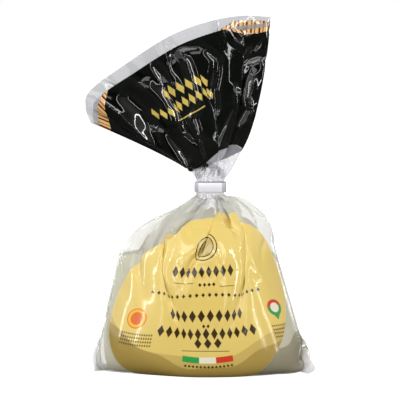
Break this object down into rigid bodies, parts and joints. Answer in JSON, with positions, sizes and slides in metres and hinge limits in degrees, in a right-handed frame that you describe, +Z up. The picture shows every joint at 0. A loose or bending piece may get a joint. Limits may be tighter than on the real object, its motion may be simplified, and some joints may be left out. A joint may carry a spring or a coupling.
{
  "type": "bag of mozzarella in brine",
  "caption": "Soft film bag that holds a mozzarella ball in cloudy brine, pinched to a neck by a flat clip under a flared printed top; stands upright on its foot.",
  "frame": {"origin": "on the table under the middle of the sack", "axes": "+Z up through the neck, the printed front faces -Y, the longer side of the flared top leans towards -X"},
  "size_m": [0.1832, 0.098, 0.2756],
  "materials": {
    "printed_film": "thin glossy polyethylene film, part clear and part printed",
    "clip_metal": "pale satin flat strip"
  },
  "bodies": {
    "root": {"film_bag": "printed_film", "neck_clip": "clip_metal"}
  },
  "joints": []
}
